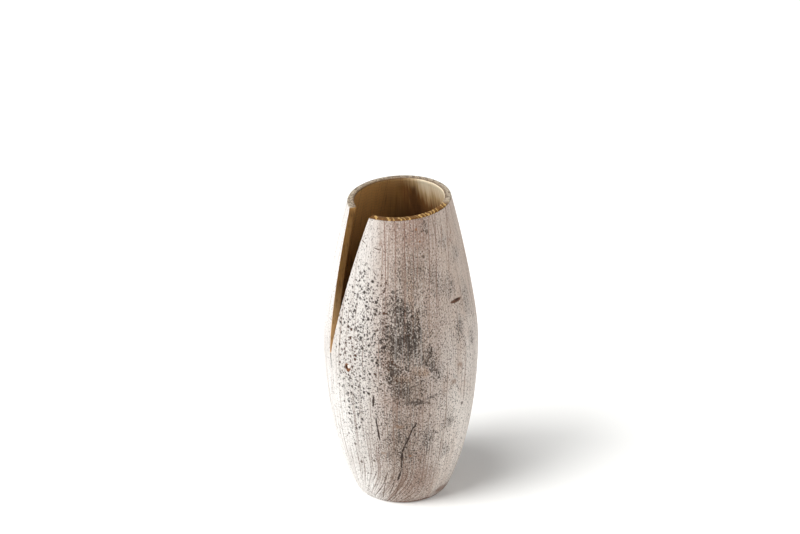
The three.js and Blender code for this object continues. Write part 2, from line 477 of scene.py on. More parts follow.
def on_wall(azimuth, height):
    """The place on the outside of the wall at an azimuth in degrees and a height."""
    return level_direction(azimuth) * outline_at(height)[0] + Vector((0, 0, height))


def marks(tree, place, spots):
    """A mask that is 1 in the middle of each spot and 0 from its edge outward. A spot is its azimuth in
    degrees, height, half width, half height and, if it leans to the right, by how many degrees."""
    total = 0
    for azimuth, height, half_width, half_height, *lean in spots:
        local = add(tree, "ShaderNodeMapping", {
            "Vector": place,
            "Location": on_wall(azimuth, height),
            "Rotation": (math.radians(-sum(lean)), 0, math.radians(azimuth)),
            "Scale": (max(MARK_DEPTH, half_width), half_width, half_height),
        }, vector_type="TEXTURE")
        spot = add(tree, "ShaderNodeTexGradient", local, gradient_type="SPHERICAL").outputs[1]
        total = add(tree, MATH, total, spot, operation="MAXIMUM")
    return total


def crack(half_width, *points):
    """Spots that follow a crack from point to point, each given as an azimuth and a height."""
    spots = []
    for (azimuth, height), (next_azimuth, next_height) in zip(points, points[1:]):
        middle = (height + next_height) / 2
        across = outline_at(middle)[0] * math.radians(azimuth - next_azimuth)
        drop = height - next_height
        reach = CRACK_OVERLAP / 2 * math.hypot(across, drop)
        lean = math.degrees(math.atan2(across, drop))
        spots.append(((azimuth + next_azimuth) / 2, middle, half_width, reach, lean))
    return spots


print("a mark on the belly lies", round(on_wall(0, BELLY_HEIGHT).x, 1), "mm from the axis")

# %% [markdown]
# ## Lime, stains and painted light on the outside
#
# The outside was turned, limed and left to weather. Lime fills the pores, so the wood looks pale and
# chalky, thickest on the side with the slit. Damp has stained it brown since, and fungus has drawn a grey
# haze over it with darker clouds in the middle. Noise alone could stain it all over, but the real stains
# lie where the damp stood, so each kind is a few spots that fray widely. Two kinds are painted light and
# shade instead: the lime is whitened further on the wall that faces the window, and the right side is
# darkened by painted shade.

# %% Stains, painted light and painted shade with frayed edges
FRAY = {"reach": 4, "size": 12}
FRAYED_MARKS = {
    # lime and painted light: the lime is whitened further on the wall that faces the window, from the foot
    # up
    "lime and painted light": [(262, 4, 44, 46), (254, 66, 36, 72), (238, 185, 24, 96)],
    "low lime": [(10, 58, 36, 56)],
    # painted shade that darkens the right side of the wall
    "shaded side": [(12, 222, 64, 110)],
    "brown": [
        (312, 138, 9, 26), (328, 106, 18, 32), (334, 27, 24, 24), (325, 60, 17, 48), (335, 233, 24, 30),
        (331, 203, 14, 20), (319, 98, 16, 14), (330, 47, 17, 22), (330, 118, 12, 18), (330, 78, 11, 22),
        (140, 30, 26, 24), (150, 228, 26, 24), (112, 115, 16, 30),
    ],
    "tan": [(331, 186, 4.5, 22), (333, 166, 4, 10), (324, 119, 11, 5, 12), (338, 124, 9, 6, 30)],
    "haze": [
        (328, 152, 27, 60), (323, 60, 22, 52), (333, 198, 21, 34), (330, 108, 20, 30), (120, 150, 24, 44),
        (165, 60, 20, 40),
    ],
    "cloud": [
        (321, 174, 10, 16), (316, 146, 8, 18), (331, 150, 11, 26), (317, 122, 9, 16), (344, 134, 9, 12),
        (322, 112, 9, 15),
    ],
    "smudges": [
        (10.5, 218, 7, 9), (8, 184, 9, 14), (24, 205, 8, 10), (28, 135, 8, 11), (344, 65, 8, 20),
        (3, 75, 8, 13), (4, 48, 9, 11), (356, 190, 8, 18), (351, 232, 6, 7), (27, 168, 9, 24),
        (14, 150, 7, 16), (350, 122, 8, 14), (128, 165, 12, 30), (142, 120, 10, 22), (172, 62, 11, 26),
        (92, 60, 10, 20), (185, 185, 9, 22),
    ],
    "dot field": [
        (291, 148, 27, 50), (284, 94, 11, 34), (313, 154, 22, 56), (282, 118, 16, 40), (284, 86, 9, 28),
        (291, 183, 15, 24),
    ],
    "blotches": [(11.8, 120.5, 4.4, 3.4, 20), (5.5, 109, 4.4, 4.2), (308, 52, 3.4, 2.4), (321, 79, 5, 3)],
    "scorched foot": [(16, 5.5, 16, 5.5), (345, 0, 30, 2)],
}
print(len(FRAYED_MARKS), "kinds of stain in", sum(map(len, FRAYED_MARKS.values())), "spots")

# %% [markdown]
# ## Checks, knot and other sharp marks
#
# Drying has opened a few checks, which follow the fibres and wander sideways where these sweep aside. A
# check is a hairline, so it is drawn as a chain of thin spots and pressed in by the bump, not cut into
# the mesh. A knot, a pocket of bark, nicks and rust spots are single spots, and the knot's hollow gets
# painted shade on its left and a painted highlight on its right. All of them have crisp edges, so the
# place is shaken only a little.

# %% Marks with ragged edges
RAG = {"reach": 0.5, "size": 3}
RAGGED_MARKS = {
    "stripes": [
        (322.5, 147, 2.4, 15), (328.8, 150, 1.9, 26), (333.5, 153, 1.8, 20), (337, 158, 1.6, 17),
        (345.5, 140, 1.5, 8), (315.5, 131, 2.2, 6), (315.5, 120, 2.2, 6),
    ],
    "water streaks": [(332, 98.6, 13, 2.2, -3), (337, 98, 7, 3.2), (345, 101.3, 9, 1.6, -14)],
    "long line": [(18, 106, 0.5, 32)],
    "nicks": [(284.9, 219.5, 0.6, 2.6, -66), (301.1, 216.6, 0.7, 4.2, -78)],
    "spots": [
        (345.5, 210.6, 1.5, 1.7), (16.1, 85.4, 2, 2.2), (343.6, 96.6, 2, 1.8), (350, 235.6, 1.3, 1.6),
        (280.5, 54, 1.9, 1.9), (284, 38, 2, 2), (298, 43, 1.8, 1.7), (275, 62, 1.4, 1.4),
        (150, 178, 1.8, 1.8), (171, 108, 1.7, 1.7), (104, 150, 1.6, 1.8),
    ],
    "rust": [(339.9, 231, 1.2, 1.6), (343, 222, 1, 1), (330, 50, 1.2, 1.4)],
    "bark pocket": [(13.6, 171.2, 8, 2, 2)],
    "bark heart": [(14.8, 171.6, 3.6, 1.3, 2)],
    "knot": [(280.4, 121.4, 3.4, 4.4, -12)],
    # painted shade on the left of the knot's hollow
    "knot shade": [(279.2, 121.6, 1.7, 2.6)],
    # a painted highlight on the right wall of the knot's hollow
    "knot highlight": [(281.4, 122.6, 1.7, 2.2)],
    "hair checks": [
        *crack(0.55, (310.5, 35), (304, 19), (290.5, 5)),
        *crack(0.5, (317, 26), (308, 7)),
        *crack(0.5, (306.5, 22), (299, 2)),
        *crack(0.5, (321, 24), (313, 3)),
        *crack(0.45, (300, 34), (293, 21)),
    ],
    "checks": [
        *crack(1.2, (302.3, 103), (301.4, 94)),
        *crack(0.95, (303.2, 84), (303.9, 75), (305.2, 64.5)),
        *crack(0.6, (259.1, 128), (259.7, 114)),
        *crack(0.85, (334.2, 79.7), (331, 75.2)),
        *crack(0.7, (331, 75.2), (329.2, 69)),
        *crack(0.9, (329.2, 69), (325.2, 59.5), (323.4, 54.5)),
        *crack(1.15, (323.2, 53), (322.7, 46)),
        *crack(0.7, (322.7, 46), (322.3, 38)),
        *crack(1, (321.6, 34.5), (318.7, 25.5)),
        *crack(0.7, (158, 46), (156, 34), (157, 20)),
        *crack(0.55, (118, 226), (119, 212)),
    ],
}
print(len(RAGGED_MARKS["checks"]), "lengths of check,", len(RAGGED_MARKS["hair checks"]), "of hair check")

# %% [markdown]
# ## Grain of the limed wall
#
# Lime hides most of the grain and shows the rest. Fibres stay as fine streaks all over. The ring lines
# show where the lime is thin, most of all near the mouth. Near the foot the fibres sweep aside under a
# branch that was cut away, and open grain runs with them. Grit finer than a millimetre would not show in
# the picture, so it is drawn as coarse as that.

# %% Grain of the limed wall
LIME_AZIMUTH = 262
WEATHER_AZIMUTH = 329
# How large the patches of a mottle are along X, Y and Z
PATCH_SIZE = (17, 17, 42)
CLUMP_SIZE = (5, 5, 8)
GRIT_SIZE = (1.12, 1.12, 1.35)
FIBRE_SIZE = (0.95, 0.95, 60)
OPEN_GRAIN_SIZE = (1.8, 1.8, 80)
JOSTLE_SIZE = (7, 7, 200)
# Lines in the grain
FINE_RING_SPACING = 2.3
FINE_RING_JOSTLE = 7
SWEPT_SPACING = 3.2
# The shares of a spacing at which a line starts, is full and fades
THIN_LINE = (0.86, 0.93, 0.93)
SOFT_LINE = (0.62, 0.81, 0.81)
SWEPT_LINE = (0.7, 0.85, 0.85)
# Heights between which something comes in
MOUTH_RISE = (150, 216)
FOOT_DROP = (52, 18)
OPEN_DROP = (110, 40)
# Values of a mask between which something comes in
THIN_LIME = (0.92, 0.7)
OPEN_GRAIN = (0.47, 0.36)
OPEN_SIDE = (0.55, 0.92)
SWEPT_SIDE = (0.8, 0.93)
# How much of the grain still shows where it is faintest
LEAST_SHOWN = 0.35
LEAST_BESIDE = 0.3


def grain_masks(tree, place, skin):
    """The masks of lime, fibres and rings on the outside."""
    height = add(tree, PARTS, place).outputs["Z"]
    limed = facing(tree, skin, LIME_AZIMUTH)
    at_sweep = facing(tree, skin, SWEPT_AZIMUTH)
    at_mouth = add(tree, RANGE, height, *MOUTH_RISE, LEAST_SHOWN, 1)
    at_foot = add(tree, RANGE, height, *FOOT_DROP)
    shown = all_of(tree, at_mouth, add(tree, RANGE, limed, *THIN_LIME))
    depth = ring_depth(tree, place)
    jostled = add(tree, MATH, mottled(tree, skin, JOSTLE_SIZE), FINE_RING_JOSTLE, depth, **TIMES_PLUS)
    swept = swept_foot(tree, skin)
    across = add(tree, VECTOR, swept, level_direction(SWEPT_AZIMUTH + 90), **DOT).outputs["Value"]
    pores = add(tree, RANGE, mottled(tree, swept, OPEN_GRAIN_SIZE), *OPEN_GRAIN, **SMOOTH)
    open_low = add(tree, RANGE, height, *OPEN_DROP, LEAST_SHOWN, 1)
    open_side = add(tree, RANGE, at_sweep, *OPEN_SIDE, LEAST_BESIDE, 1)
    foot_lines = ring_lines(tree, across, SWEPT_SPACING, *SWEPT_LINE)
    return {
        "limed": limed,
        "weathered": facing(tree, skin, WEATHER_AZIMUTH),
        "patches": mottled(tree, skin, PATCH_SIZE, 3),
        "clumps": mottled(tree, skin, CLUMP_SIZE),
        "grit": mottled(tree, skin, GRIT_SIZE),
        "fibres": mottled(tree, swept, FIBRE_SIZE),
        "at mouth": at_mouth,
        "at foot": at_foot,
        "below mouth": below_mouth(tree, place),
        "rings": all_of(tree, ring_lines(tree, depth, RING_SPACING, *THIN_LINE), shown),
        "fine rings": all_of(tree, ring_lines(tree, jostled, FINE_RING_SPACING, *SOFT_LINE), shown),
        "open grain": all_of(tree, pores, open_low, open_side),
        "foot lines": all_of(tree, foot_lines, at_foot, add(tree, RANGE, at_sweep, *SWEPT_SIDE)),
    }


print(f"grit of {GRIT_SIZE[0]} mm, fibres {FIBRE_SIZE[0]} mm wide, ring lines {RING_SPACING} mm apart")

# %% [markdown]
# ## Spalt
#
# Spalt is what fungus leaves in damp wood. From afar it is a grey cloud, but close up it is a stipple of
# dark grains between pale ones, thick where the cloud is and thin elsewhere, with round black dots where
# the fungus fruited. A cloud of one grey would look painted on. So the masks of the stains only raise the
# chance of a dark grain, and the dots are the cells of a Voronoi texture, of which chance keeps some.

# %% Stipple, specks and dots
DOT_SIZES = [(3.9, 1.45), (2.6, 0.92)]
SPECK_SIZES = [(2.1, 0.8), (1.6, 0.6)]
DOT_EDGE = (1.12, 0.55)
FAINTEST_DOT = 0.45
DOT_FIELD_REACH = 0.48
MOST_DOTS = 0.85
BROWN_PATCHES = (0.48, 0.6)
STRIPE_GRIT = (0.42, 0.6)
STIPPLE_SHARES = {
    "clumps": 0.35, "weathered": 0.15, "haze": 0.1, "cloud": 0.14, "stripes": 0.1, "water streaks": 0.2,
    "smudges": 0.14, "dot field": 0.07, "fibres": 0.45, "at mouth": -0.1, "at foot": -0.04,
}
PEPPER_SHARES = {"weathered": 0.08, "at mouth": -0.03}
FEWEST_SPECKS = -0.42
SPECK_SHARES = {
    "fibres": 0.9, "weathered": 0.24, "haze": 0.4, "cloud": 0.55, "stripes": 0.4, "smudges": 0.3,
    "dot field": 0.12, "at mouth": -0.14,
}


def wall_dots(tree, place, sizes, field):
    """Round fungus dots of some sizes, each as dark as chance has it, kept where the field says. A size is
    the spacing of the dots and their radius in millimetres."""
    total = 0
    for spacing, radius in sizes:
        dots = add(tree, "ShaderNodeTexVoronoi", {"Vector": place, "Scale": 1 / spacing})
        edge = [share * radius / spacing for share in DOT_EDGE]
        disc = add(tree, RANGE, dots.outputs["Distance"], *edge)
        chance = add(tree, PARTS, dots.outputs["Color"]).outputs
        grown = add(tree, MATH, field, chance["X"], operation="GREATER_THAN")
        depth = add(tree, RANGE, chance["Y"], 0, 1, FAINTEST_DOT, 1)
        total = add(tree, MATH, total, all_of(tree, disc, grown, depth), operation="MAXIMUM")
    return total


def spalt_masks(tree, place, ragged, masks):
    """The masks of the fungus, worked out from those of the stains and the grain."""
    grit = masks["grit"]
    field = add(tree, RANGE, masks["dot field"], 0, DOT_FIELD_REACH, 0, MOST_DOTS)
    dots = wall_dots(tree, ragged, DOT_SIZES, field)
    crowd = weighed(tree, FEWEST_SPECKS, masks, SPECK_SHARES)
    return {
        "stipple": weighed(tree, grit, masks, STIPPLE_SHARES),
        "pepper": weighed(tree, grit, masks, PEPPER_SHARES),
        "specks": wall_dots(tree, place, SPECK_SIZES, crowd),
        "dots": dots,
        "brown dots": all_of(tree, dots, add(tree, RANGE, masks["patches"], *BROWN_PATCHES)),
        "broken stripes": all_of(tree, masks["stripes"], add(tree, RANGE, grit, *STRIPE_GRIT)),
    }


print("dots", " and ".join(f"{2 * radius} mm" for spacing, radius in DOT_SIZES), "wide")

# %% [markdown]
# ## Limed, weathered and spalted wood
#
# The finish of the outside is laid in the order in which it came about: lime and stains, then the fungus
# and the grain that shows through, then dots, scorching, knot and checks. Painted light and shade ride
# among them: whiter lime on the window side, a shaded right side, a dark line along the outer arris of the
# mouth, and shade and a highlight in the knot's hollow. It is matt, because dry lime scatters light evenly
# and leaves almost no gloss. The bump is the same grit and fibres again, with the rings, the dots and
# above all the checks pressed in.

# %% Layers of the outside
LIME_STAIN_AND_PAINTED_LIGHT_LAYERS = [
    # colour, mask, where it starts, where it is full, most that it covers
    ("#c4ab9b", "patches", 0.5, 0.68, 0.5),
    ("#dad5d0", "limed", 0.2, 0.95, 0.95),
    # lime and painted light: whiter on the wall that faces the window
    ("#f2efec", "lime and painted light", 0, 0.6, 0.9),
    ("#ece4dc", "low lime", 0, 0.6, 0.6),
    # painted shade on the right side of the wall
    ("#c0ab9c", "shaded side", 0.02, 0.6, 0.7),
    ("#a79184", "weathered", 0.78, 0.99, 0.6),
    ("#8e7263", "brown", 0.02, 0.7, 0.55),
    ("#a0744c", "tan", 0.02, 0.7, 0.45),
    ("#857a6d", "haze", 0.02, 0.9, 0.48),
    ("#746a5e", "cloud", 0.02, 0.9, 0.52),
    ("#8d8680", "smudges", 0.02, 0.8, 0.32),
]
GRAIN_LAYERS = [
    ("#2f2823", "broken stripes", 0.03, 0.4, 0.85),
    ("#5f534b", "pepper", 0.59, 0.7, 0.62),
    ("#efe9e3", "grit", 0.47, 0.32, 0.36),
    ("#7d6657", "fibres", 0.46, 0.3, 0.65),
    ("#382f2a", "stipple", 1.04, 1.28, 0.88),
    ("#4d423b", "specks", 0.05, 0.9, 0.8),
    ("#e2dad2", "fibres", 0.56, 0.7, 0.35),
    ("#7c5546", "rings", 0.08, 0.5, 0.75),
    ("#8f6a59", "fine rings", 0.35, 0.9, 0.75),
    ("#75594a", "open grain", 0, 1, 0.55),
    ("#5c4636", "foot lines", 0.12, 0.5, 0.9),
]
WEAR_AND_PAINTED_LIGHT_LAYERS = [
    # painted shade: a dark line just below the mouth, along the outer arris
    ("#5f5044", "below mouth", 1.4, 0.9, 0.55),
    ("#8c6350", "long line", 0.05, 0.5, 0.6),
    ("#5f544d", "water streaks", 0.05, 0.7, 0.5),
    ("#2f2621", "dots", 0.05, 0.85, 0.94),
    ("#5f3f2d", "brown dots", 0.2, 0.9, 0.6),
    ("#86664f", "blotches", 0.05, 0.8, 0.6),
    ("#6f4833", "scorched foot", 0.05, 0.7, 0.6),
    ("#8c5c3a", "rust", 0.1, 0.5, 0.8),
    ("#5d3d2b", "bark pocket", 0.05, 0.4, 0.95),
    ("#35221a", "bark heart", 0.1, 0.6, 0.9),
    ("#754215", "knot", 0.05, 0.4, 0.95),
    # painted shade in the knot's hollow
    ("#24140a", "knot shade", 0.15, 0.6, 0.9),
    # a painted highlight in the knot's hollow
    ("#f1ece5", "knot highlight", 0.15, 0.5, 0.95),
    ("#5a4a40", "spots", 0.1, 0.6, 0.85),
    ("#5a463a", "nicks", 0.1, 0.45, 0.85),
    ("#5f4c40", "hair checks", 0.08, 0.5, 0.85),
    ("#33261f", "checks", 0.05, 0.4, 0.95),
]
LIMED_LAYERS = LIME_STAIN_AND_PAINTED_LIGHT_LAYERS + GRAIN_LAYERS + WEAR_AND_PAINTED_LIGHT_LAYERS
print(len(LIMED_LAYERS), "layers on the outside")

# %% Limed wood, outside
LIMED_RELIEF = {"grit": 0.7, "rings": -0.5, "checks": -2.5, "dots": -0.4}
LIMED_ROUGHNESS = (0.74, 0.92)


def limed_wood():
    """Dry lime in the pores of old wood: pale, chalky and matt, gritty to the touch and peppered grey."""
    material, tree, place = new_finish("limed_weathered_spalted_wood")
    frayed = shaken(tree, place, **FRAY)
    ragged = shaken(tree, place, **RAG)
    masks = {name: marks(tree, frayed, spots) for name, spots in FRAYED_MARKS.items()}
    masks |= {name: marks(tree, ragged, spots) for name, spots in RAGGED_MARKS.items()}
    masks |= grain_masks(tree, place, skin_place(tree, place))
    masks |= spalt_masks(tree, place, ragged, masks)
    colour = stained(tree, "#dcd2ca", masks, LIMED_LAYERS)
    relief = weighed(tree, masks["fibres"], masks, LIMED_RELIEF)
    bump = add(tree, BUMP, {"Height": relief, "Strength": 0.5, "Distance": 0.6 * MM})
    rough = add(tree, RANGE, masks["patches"], *NOISE_SPAN, *LIMED_ROUGHNESS)
    shader = add(tree, SHADER, {
        "Base Color": colour, "Roughness": rough, "IOR": 1.45, "Specular IOR Level": 0.3, "Normal": bump,
    })
    add(tree, OUTPUT, shader)
    return material


outside_finish = limed_wood()
print(outside_finish.name, "has", len(outside_finish.node_tree.nodes), "nodes")

# %% [markdown]
# ## Bare end grain
#
# The rim and the faces of the slit were cut after liming, so they show the wood's own gold. They are
# mostly end grain: each ring gives a light spring band and a darker summer band, and the open pores drink
# oil, which deepens the colour. The bands come from the same rings as the outside, so they meet across
# the arris. Round the back of the rim the lime has stayed on, so there it is pale again and flecked with
# grey. Two materials could split the rim, but their border would be a hard line, so one finish fades from
# gold to lime.

# %% Bare wood, rim and slit
BARE_AZIMUTH = 330
LIMED_BACK = (0.65, 0.25)
RIM_BAND = (2, 1)
RIM_PATCH_SIZE = (3.4, 3.4, 3.4)
RIM_JOSTLE = 6
RIM_JOSTLE_SIZE = (5, 5, 40)
SPRING_BAND = (0.45, 0.7, 0.8)
PORE_SIZE = (1.2, 1.2, 6)
MOTTLE_SIZE = (8, 8, 26)
INNER_EDGE_SHADE = (RIM_RADIUS - 1.5, RIM_RADIUS - RIM_WALL)
PALE_BELOW = (185, 140)
PALE_ABOVE = (60, 100)
BARE_ROUGHNESS = (0.5, 0.7)


def bare_wood():
    """Oiled end grain: brown and gold in narrow bands, with a slight sheen, and pale where it is limed."""
    material, tree, place = new_finish("bare_oiled_end_grain")
    height = add(tree, PARTS, place).outputs["Z"]
    below_top = add(tree, RANGE, height, *PALE_BELOW)
    above_foot = add(tree, RANGE, height, *PALE_ABOVE)
    jostle = mottled(tree, place, RIM_JOSTLE_SIZE)
    depth = add(tree, MATH, jostle, RIM_JOSTLE, ring_depth(tree, place), **TIMES_PLUS)
    at_rim = add(tree, RANGE, below_mouth(tree, place), *RIM_BAND, **SMOOTH)
    bare_side = facing(tree, skin_place(tree, place), BARE_AZIMUTH)
    kept_lime = all_of(tree, at_rim, add(tree, RANGE, bare_side, *LIMED_BACK, **SMOOTH))
    masks = {
        "mottle": mottled(tree, place, MOTTLE_SIZE, 3),
        "pores": mottled(tree, place, PORE_SIZE, 3),
        "near tip": all_of(tree, below_top, above_foot),
        "rim": at_rim,
        "gold": all_of(tree, ring_lines(tree, depth, RING_SPACING / 2, *SPRING_BAND), at_rim),
        "kept lime": kept_lime,
        # brown tint near the inner edge of the rim, and painted shade on the inner arris
        "inner edge tint and shade": all_of(tree, add(tree, RANGE, from_axis(tree, place), *INNER_EDGE_SHADE), kept_lime),
        "patches": all_of(tree, mottled(tree, place, RIM_PATCH_SIZE), kept_lime),
        "flecks": all_of(tree, mottled(tree, place, GRIT_SIZE), kept_lime),
    }
    colour = stained(tree, "#98703f", masks, [
        ("#735027", "mottle", 0.46, 0.66, 0.6),
        ("#eac592", "near tip", 0, 1, 0.9),
        ("#5f3d14", "rim", 0, 1, 0.95),
        ("#c9a466", "gold", 0.15, 0.6, 0.85),
        ("#4c3017", "pores", 0.45, 0.3, 0.5),
        ("#c99a5c", "pores", 0.58, 0.72, 0.35),
        ("#b7aa97", "kept lime", 0, 1, 0.9),
        # brown tint near the inner edge, and painted shade that dims the highlight on the inner arris
        ("#6f4f2a", "inner edge tint and shade", 0.2, 1, 0.8),
        ("#5d4b38", "patches", 0.5, 0.62, 0.75),
        ("#675a4c", "flecks", 0.46, 0.6, 0.85),
    ])
    bump = add(tree, BUMP, {"Height": masks["pores"], "Strength": 0.4, "Distance": 0.4 * MM})
    rough = add(tree, RANGE, masks["mottle"], *NOISE_SPAN, *BARE_ROUGHNESS)
    shader = add(tree, SHADER, {
        "Base Color": colour, "Roughness": rough, "IOR": 1.46, "Specular IOR Level": 0.2, "Normal": bump,
    })
    add(tree, OUTPUT, shader)
    return material


cut_finish = bare_wood()
print(cut_finish.name, "has", len(cut_finish.node_tree.nodes), "nodes")

# %% [markdown]
# ## The hollowed inside
#
# Inside, a hooked tool hollowed the wood through the mouth. It left fine rings round the wall and the
# bare wood in its own warm colour. Light that gets in bounces from wall to wall and warms at each bounce,
# so the base colour is written as the wood looks in daylight, and the renderer darkens it by itself. Over
# it lie painted light and shade: a streaky pool of painted light where the sun falls in below the mouth,
# painted light in a band round the mouth and on the wall on the window side, painted shade deeper down,
# and painted shade on the lit inner arris. The tool's rings are too fine to model, so they are a bump.

# %% Hollowed wood, inside
TOOL_PITCH = 2.6
TOOL_WANDER = 9
HOLLOW_MOTTLE_SIZE = (14, 14, 34)
HOLLOW_FIBRE_SIZE = (1.6, 1.6, 24)
HOLLOW_RING_LINE = (0.85, 0.925, 0.925)
LIT_POOL_AZIMUTH = 63
LIT_POOL_SIDE = (0.2, 0.7)
LIT_POOL_SHARES = {"below mouth": -1.4, "sunny": 31, "fibres": 24, "mottle": 16}
LIT_AZIMUTH = 225
LIT_SIDE = (-0.4, 0.2)
INNER_ARRIS = (1.8, 0.8)
DARK_STREAK = [(131, 226, 1.8, 17, 10), (122, 231, 1, 11)]
HOLLOW_ROUGHNESS = (0.62, 0.8)


def tool_ripple(tree, along, pitch):
    """The ripple that a turning tool leaves, from -1 to 1, one wave for each pitch along its way."""
    return add(tree, MATH, add(tree, MATH, along, 2 * math.pi / pitch, **TIMES), operation="SINE")


def hollowed_wood():
    """Bare wood as the hook left it: warm brown, half matt, faintly ribbed, with painted light by the mouth
    and painted shade deeper in.
    """
    material, tree, place = new_finish("hollowed_bare_wood")
    skin = skin_place(tree, place)
    height = add(tree, PARTS, place).outputs["Z"]
    below = below_mouth(tree, place)
    lit = facing(tree, skin, LIT_AZIMUTH)
    mottle = mottled(tree, skin, HOLLOW_MOTTLE_SIZE, 3)
    uneven = add(tree, MATH, mottle, TOOL_WANDER, height, **TIMES_PLUS)
    masks = {
        "height": height,
        "below mouth": below,
        "lit": lit,
        "mottle": mottle,
        "fibres": mottled(tree, skin, HOLLOW_FIBRE_SIZE, 3),
        "rings": ring_lines(tree, ring_depth(tree, place), RING_SPACING, *HOLLOW_RING_LINE),
        "ripple": tool_ripple(tree, uneven, TOOL_PITCH),
        "sunny": add(tree, RANGE, facing(tree, skin, LIT_POOL_AZIMUTH), *LIT_POOL_SIDE),
        "lit arris": all_of(tree, add(tree, RANGE, below, *INNER_ARRIS), add(tree, RANGE, lit, *LIT_SIDE)),
        "dark streak": marks(tree, place, DARK_STREAK),
    }
    masks["painted light pool"] = weighed(tree, 0, masks, LIT_POOL_SHARES)
    colour = stained(tree, "#7f5528", masks, [
        ("#99693a", "mottle", 0.46, 0.66, 0.8),
        ("#4f2f14", "mottle", 0.5, 0.34, 0.75),
        # painted shade: darker deeper down in the hollow
        ("#3a1d0c", "height", 230, 200, 0.82),
        # painted light in a band just below the mouth
        ("#c29a6a", "below mouth", 10, 1, 0.7),
        # painted light on the inner wall on the window side
        ("#d8a463", "lit", -0.15, 0.75, 0.95),
        ("#6f4820", "fibres", 0.46, 0.3, 0.5),
        ("#ab8450", "fibres", 0.56, 0.7, 0.4),
        ("#7a522a", "ripple", 0.3, 1, 0.15),
        # painted light: a streaky pool where the sun falls in below the mouth
        ("#d6b585", "painted light pool", 14, 37, 0.92),
        ("#fff0d2", "painted light pool", 27, 51, 0.97),
        ("#6c4428", "rings", 0.4, 0.95, 0.5),
        ("#5f4026", "dark streak", 0.05, 0.6, 0.55),
        # painted shade that dims the lit inner arris
        ("#4f3416", "lit arris", 0, 1, 0.85),
    ])
    relief = weighed(tree, masks["fibres"], masks, {"ripple": 0.2})
    bump = add(tree, BUMP, {"Height": relief, "Strength": 0.35, "Distance": 0.3 * MM})
    rough = add(tree, RANGE, mottle, *NOISE_SPAN, *HOLLOW_ROUGHNESS)
    shader = add(tree, SHADER, {
        "Base Color": colour, "Roughness": rough, "IOR": 1.45, "Specular IOR Level": 0.3, "Normal": bump,
    })
    add(tree, OUTPUT, shader)
    return material


inside_finish = hollowed_wood()
print(inside_finish.name, "has", len(inside_finish.node_tree.nodes), "nodes")

# %% [markdown]
# ## Oiled plug
#
# The plug is a plain disc of darker wood, oiled and turned smooth, so its grain runs straight across it
# and faint tool rings circle its middle. It hides under the foot, so two stains are enough.

# %% Oiled plug
PLUG_GRAIN_SIZE = (1.2, 40, 6)
PLUG_GRAIN_SPAN = (0.35, 0.65)
PLUG_ROUGHNESS = (0.38, 0.52)
PLUG_TOOL_PITCH = 1.4


def oiled_plug():
    """Wood turned smooth and oiled: deep brown with a soft sheen and faint rings."""
    material, tree, place = new_finish("oiled_turned_plug_wood")
    grain = mottled(tree, place, PLUG_GRAIN_SIZE, 4)
    ripple = tool_ripple(tree, from_axis(tree, place), PLUG_TOOL_PITCH)
    colour = stained(tree, "#7d5734", {"grain": grain, "ripple": ripple}, [
        ("#a67c50", "grain", 0.38, 0.62, 1),
        ("#6a4828", "ripple", 0.4, 1, 0.35),
    ])
    bump = add(tree, BUMP, {"Height": ripple, "Strength": 0.25, "Distance": 0.15 * MM})
    rough = add(tree, RANGE, grain, *PLUG_GRAIN_SPAN, *PLUG_ROUGHNESS)
    shader = add(tree, SHADER, {
        "Base Color": colour, "Roughness": rough, "IOR": 1.47, "Normal": bump,
    })
    add(tree, OUTPUT, shader)
    return material


plug_finish = oiled_plug()
print(plug_finish.name, "has", len(plug_finish.node_tree.nodes), "nodes")

# %% [markdown]
# ## Pressed cork
#
# The seat is agglomerated cork, pressed from crumbs of two or three millimetres with dark flecks of bark
# between. Noise would blur the crumbs into one another, so they are the cells of a Voronoi texture, each
# with a tone of its own, and the seams between them are pressed in.

# %% Pressed cork
CORK_CRUMB = 2.6
CORK_SHAKE = {"reach": 0.5, "size": 2}
CORK_ROUGHNESS = (0.85, 0.95)


def pressed_cork():
    """Crumbs pressed into a sheet: a tan patchwork, quite matt, with a few dark flecks of bark."""
    material, tree, place = new_finish("agglomerated_cork")
    crumbled = shaken(tree, place, **CORK_SHAKE)
    crumbs = add(tree, "ShaderNodeTexVoronoi", {"Vector": crumbled, "Scale": 1 / CORK_CRUMB}).outputs
    chance = add(tree, PARTS, crumbs["Color"]).outputs
    seam = crumbs["Distance"]
    colour = stained(tree, "#a87d4f", {"tone": chance["X"], "bark": chance["Y"], "seam": seam}, [
        ("#cfa878", "tone", 0, 1, 1),
        ("#5d3f26", "bark", 0.86, 0.92, 1),
        ("#7b5936", "seam", 0.45, 0.8, 1),
    ])
    bump = add(tree, BUMP, {"Height": seam, "Strength": 0.6, "Distance": -0.4 * MM})
    rough = add(tree, RANGE, chance["X"], 0, 1, *CORK_ROUGHNESS)
    shader = add(tree, SHADER, {
        "Base Color": colour, "Roughness": rough, "IOR": 1.4, "Normal": bump,
    })
    add(tree, OUTPUT, shader)
    return material


cork_finish = pressed_cork()
print(cork_finish.name, "has", len(cork_finish.node_tree.nodes), "nodes")

# %% [markdown]
# ## Clear glass
#
# The liner is clear soda glass, which needs only its true index of refraction and a smooth face. A sheet
# without thickness would need tricks to look like glass, but the liner has both its faces, so light bends
# on its way in and out by itself. Slow waves in the bump are those of blown glass.

# %% Clear glass
GLASS_WAVE = 14


